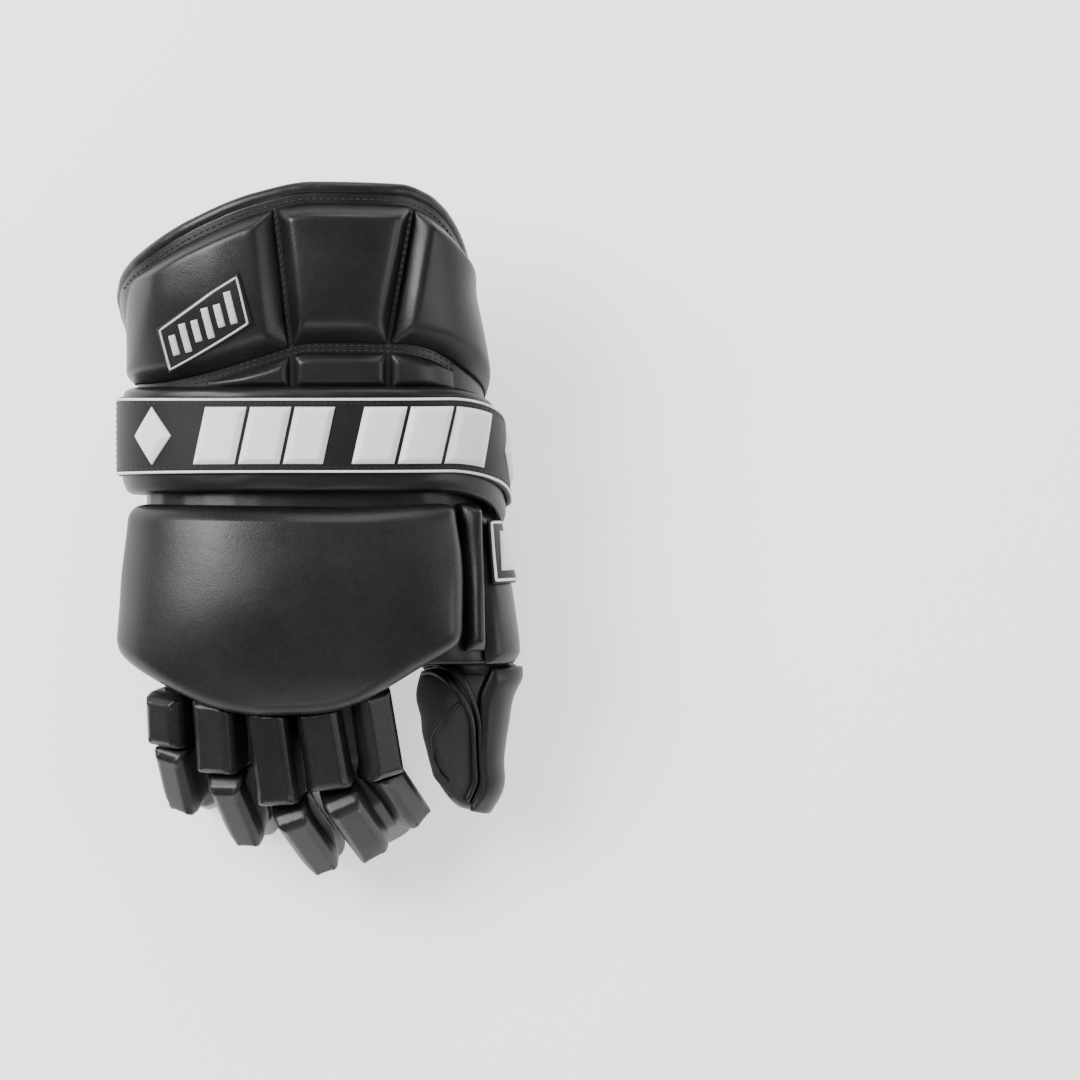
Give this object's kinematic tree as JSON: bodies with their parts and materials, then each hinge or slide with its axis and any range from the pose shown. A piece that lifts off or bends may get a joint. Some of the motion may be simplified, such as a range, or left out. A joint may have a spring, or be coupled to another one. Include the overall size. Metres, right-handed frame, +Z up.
{
  "type": "lacrosse glove",
  "caption": "Padded right-hand field glove lying palm down: segmented finger rolls, crowned backhand pad, wrist strap with rubber label, and flared panelled cuff.",
  "frame": {"origin": "under the middle of the glove's bounding box, on the surface that it lies on", "axes": "+Z up, +Y from the fingertips to the cuff, +X to the thumb side"},
  "size_m": [0.1816, 0.304, 0.1129],
  "materials": {
    "black_leather": "semi-gloss grained synthetic leather",
    "palm_leather": "matte soft leather",
    "label_rubber": "matte moulded rubber",
    "white_rubber": "satin moulded rubber",
    "lining": "matte brushed lining"
  },
  "bodies": {
    "root": {"hand_shell": "black_leather", "finger_stall_pinky": "black_leather", "finger_stall_ring": "black_leather", "finger_stall_middle": "black_leather", "finger_stall_index": "black_leather", "thumb_stall": "black_leather", "finger_webbing": "black_leather", "cuff_shell": "black_leather", "cuff_binding": "black_leather", "cuff_panel_pinky": "black_leather", "cuff_panel_center": "black_leather", "cuff_panel_thumb": "black_leather", "wrist_strap": "black_leather", "strap_label": "label_rubber", "label_block_1": "white_rubber", "label_block_2": "white_rubber", "label_block_3": "white_rubber", "label_block_4": "white_rubber", "label_block_5": "white_rubber", "label_block_6": "white_rubber", "label_diamond_1": "white_rubber", "label_diamond_2": "white_rubber", "backhand_pad": "black_leather", "roll_pinky_upper": "black_leather", "roll_pinky_lower": "black_leather", "roll_ring_upper": "black_leather", "roll_ring_lower": "black_leather", "roll_middle_upper": "black_leather", "roll_middle_lower": "black_leather", "roll_index_upper": "black_leather", "roll_index_lower": "black_leather", "roll_index_side_upper": "black_leather", "roll_index_side_lower": "black_leather", "flex_panel_pinky": "black_leather", "flex_panel_center": "black_leather", "flex_panel_thumb": "black_leather", "emblem_patch": "label_rubber", "thumb_side_roll": "black_leather", "side_badge": "label_rubber", "thumb_guard_upper": "black_leather", "thumb_guard_lower": "black_leather", "thumb_gusset": "lining", "palm_patch": "palm_leather"}
  },
  "joints": []
}
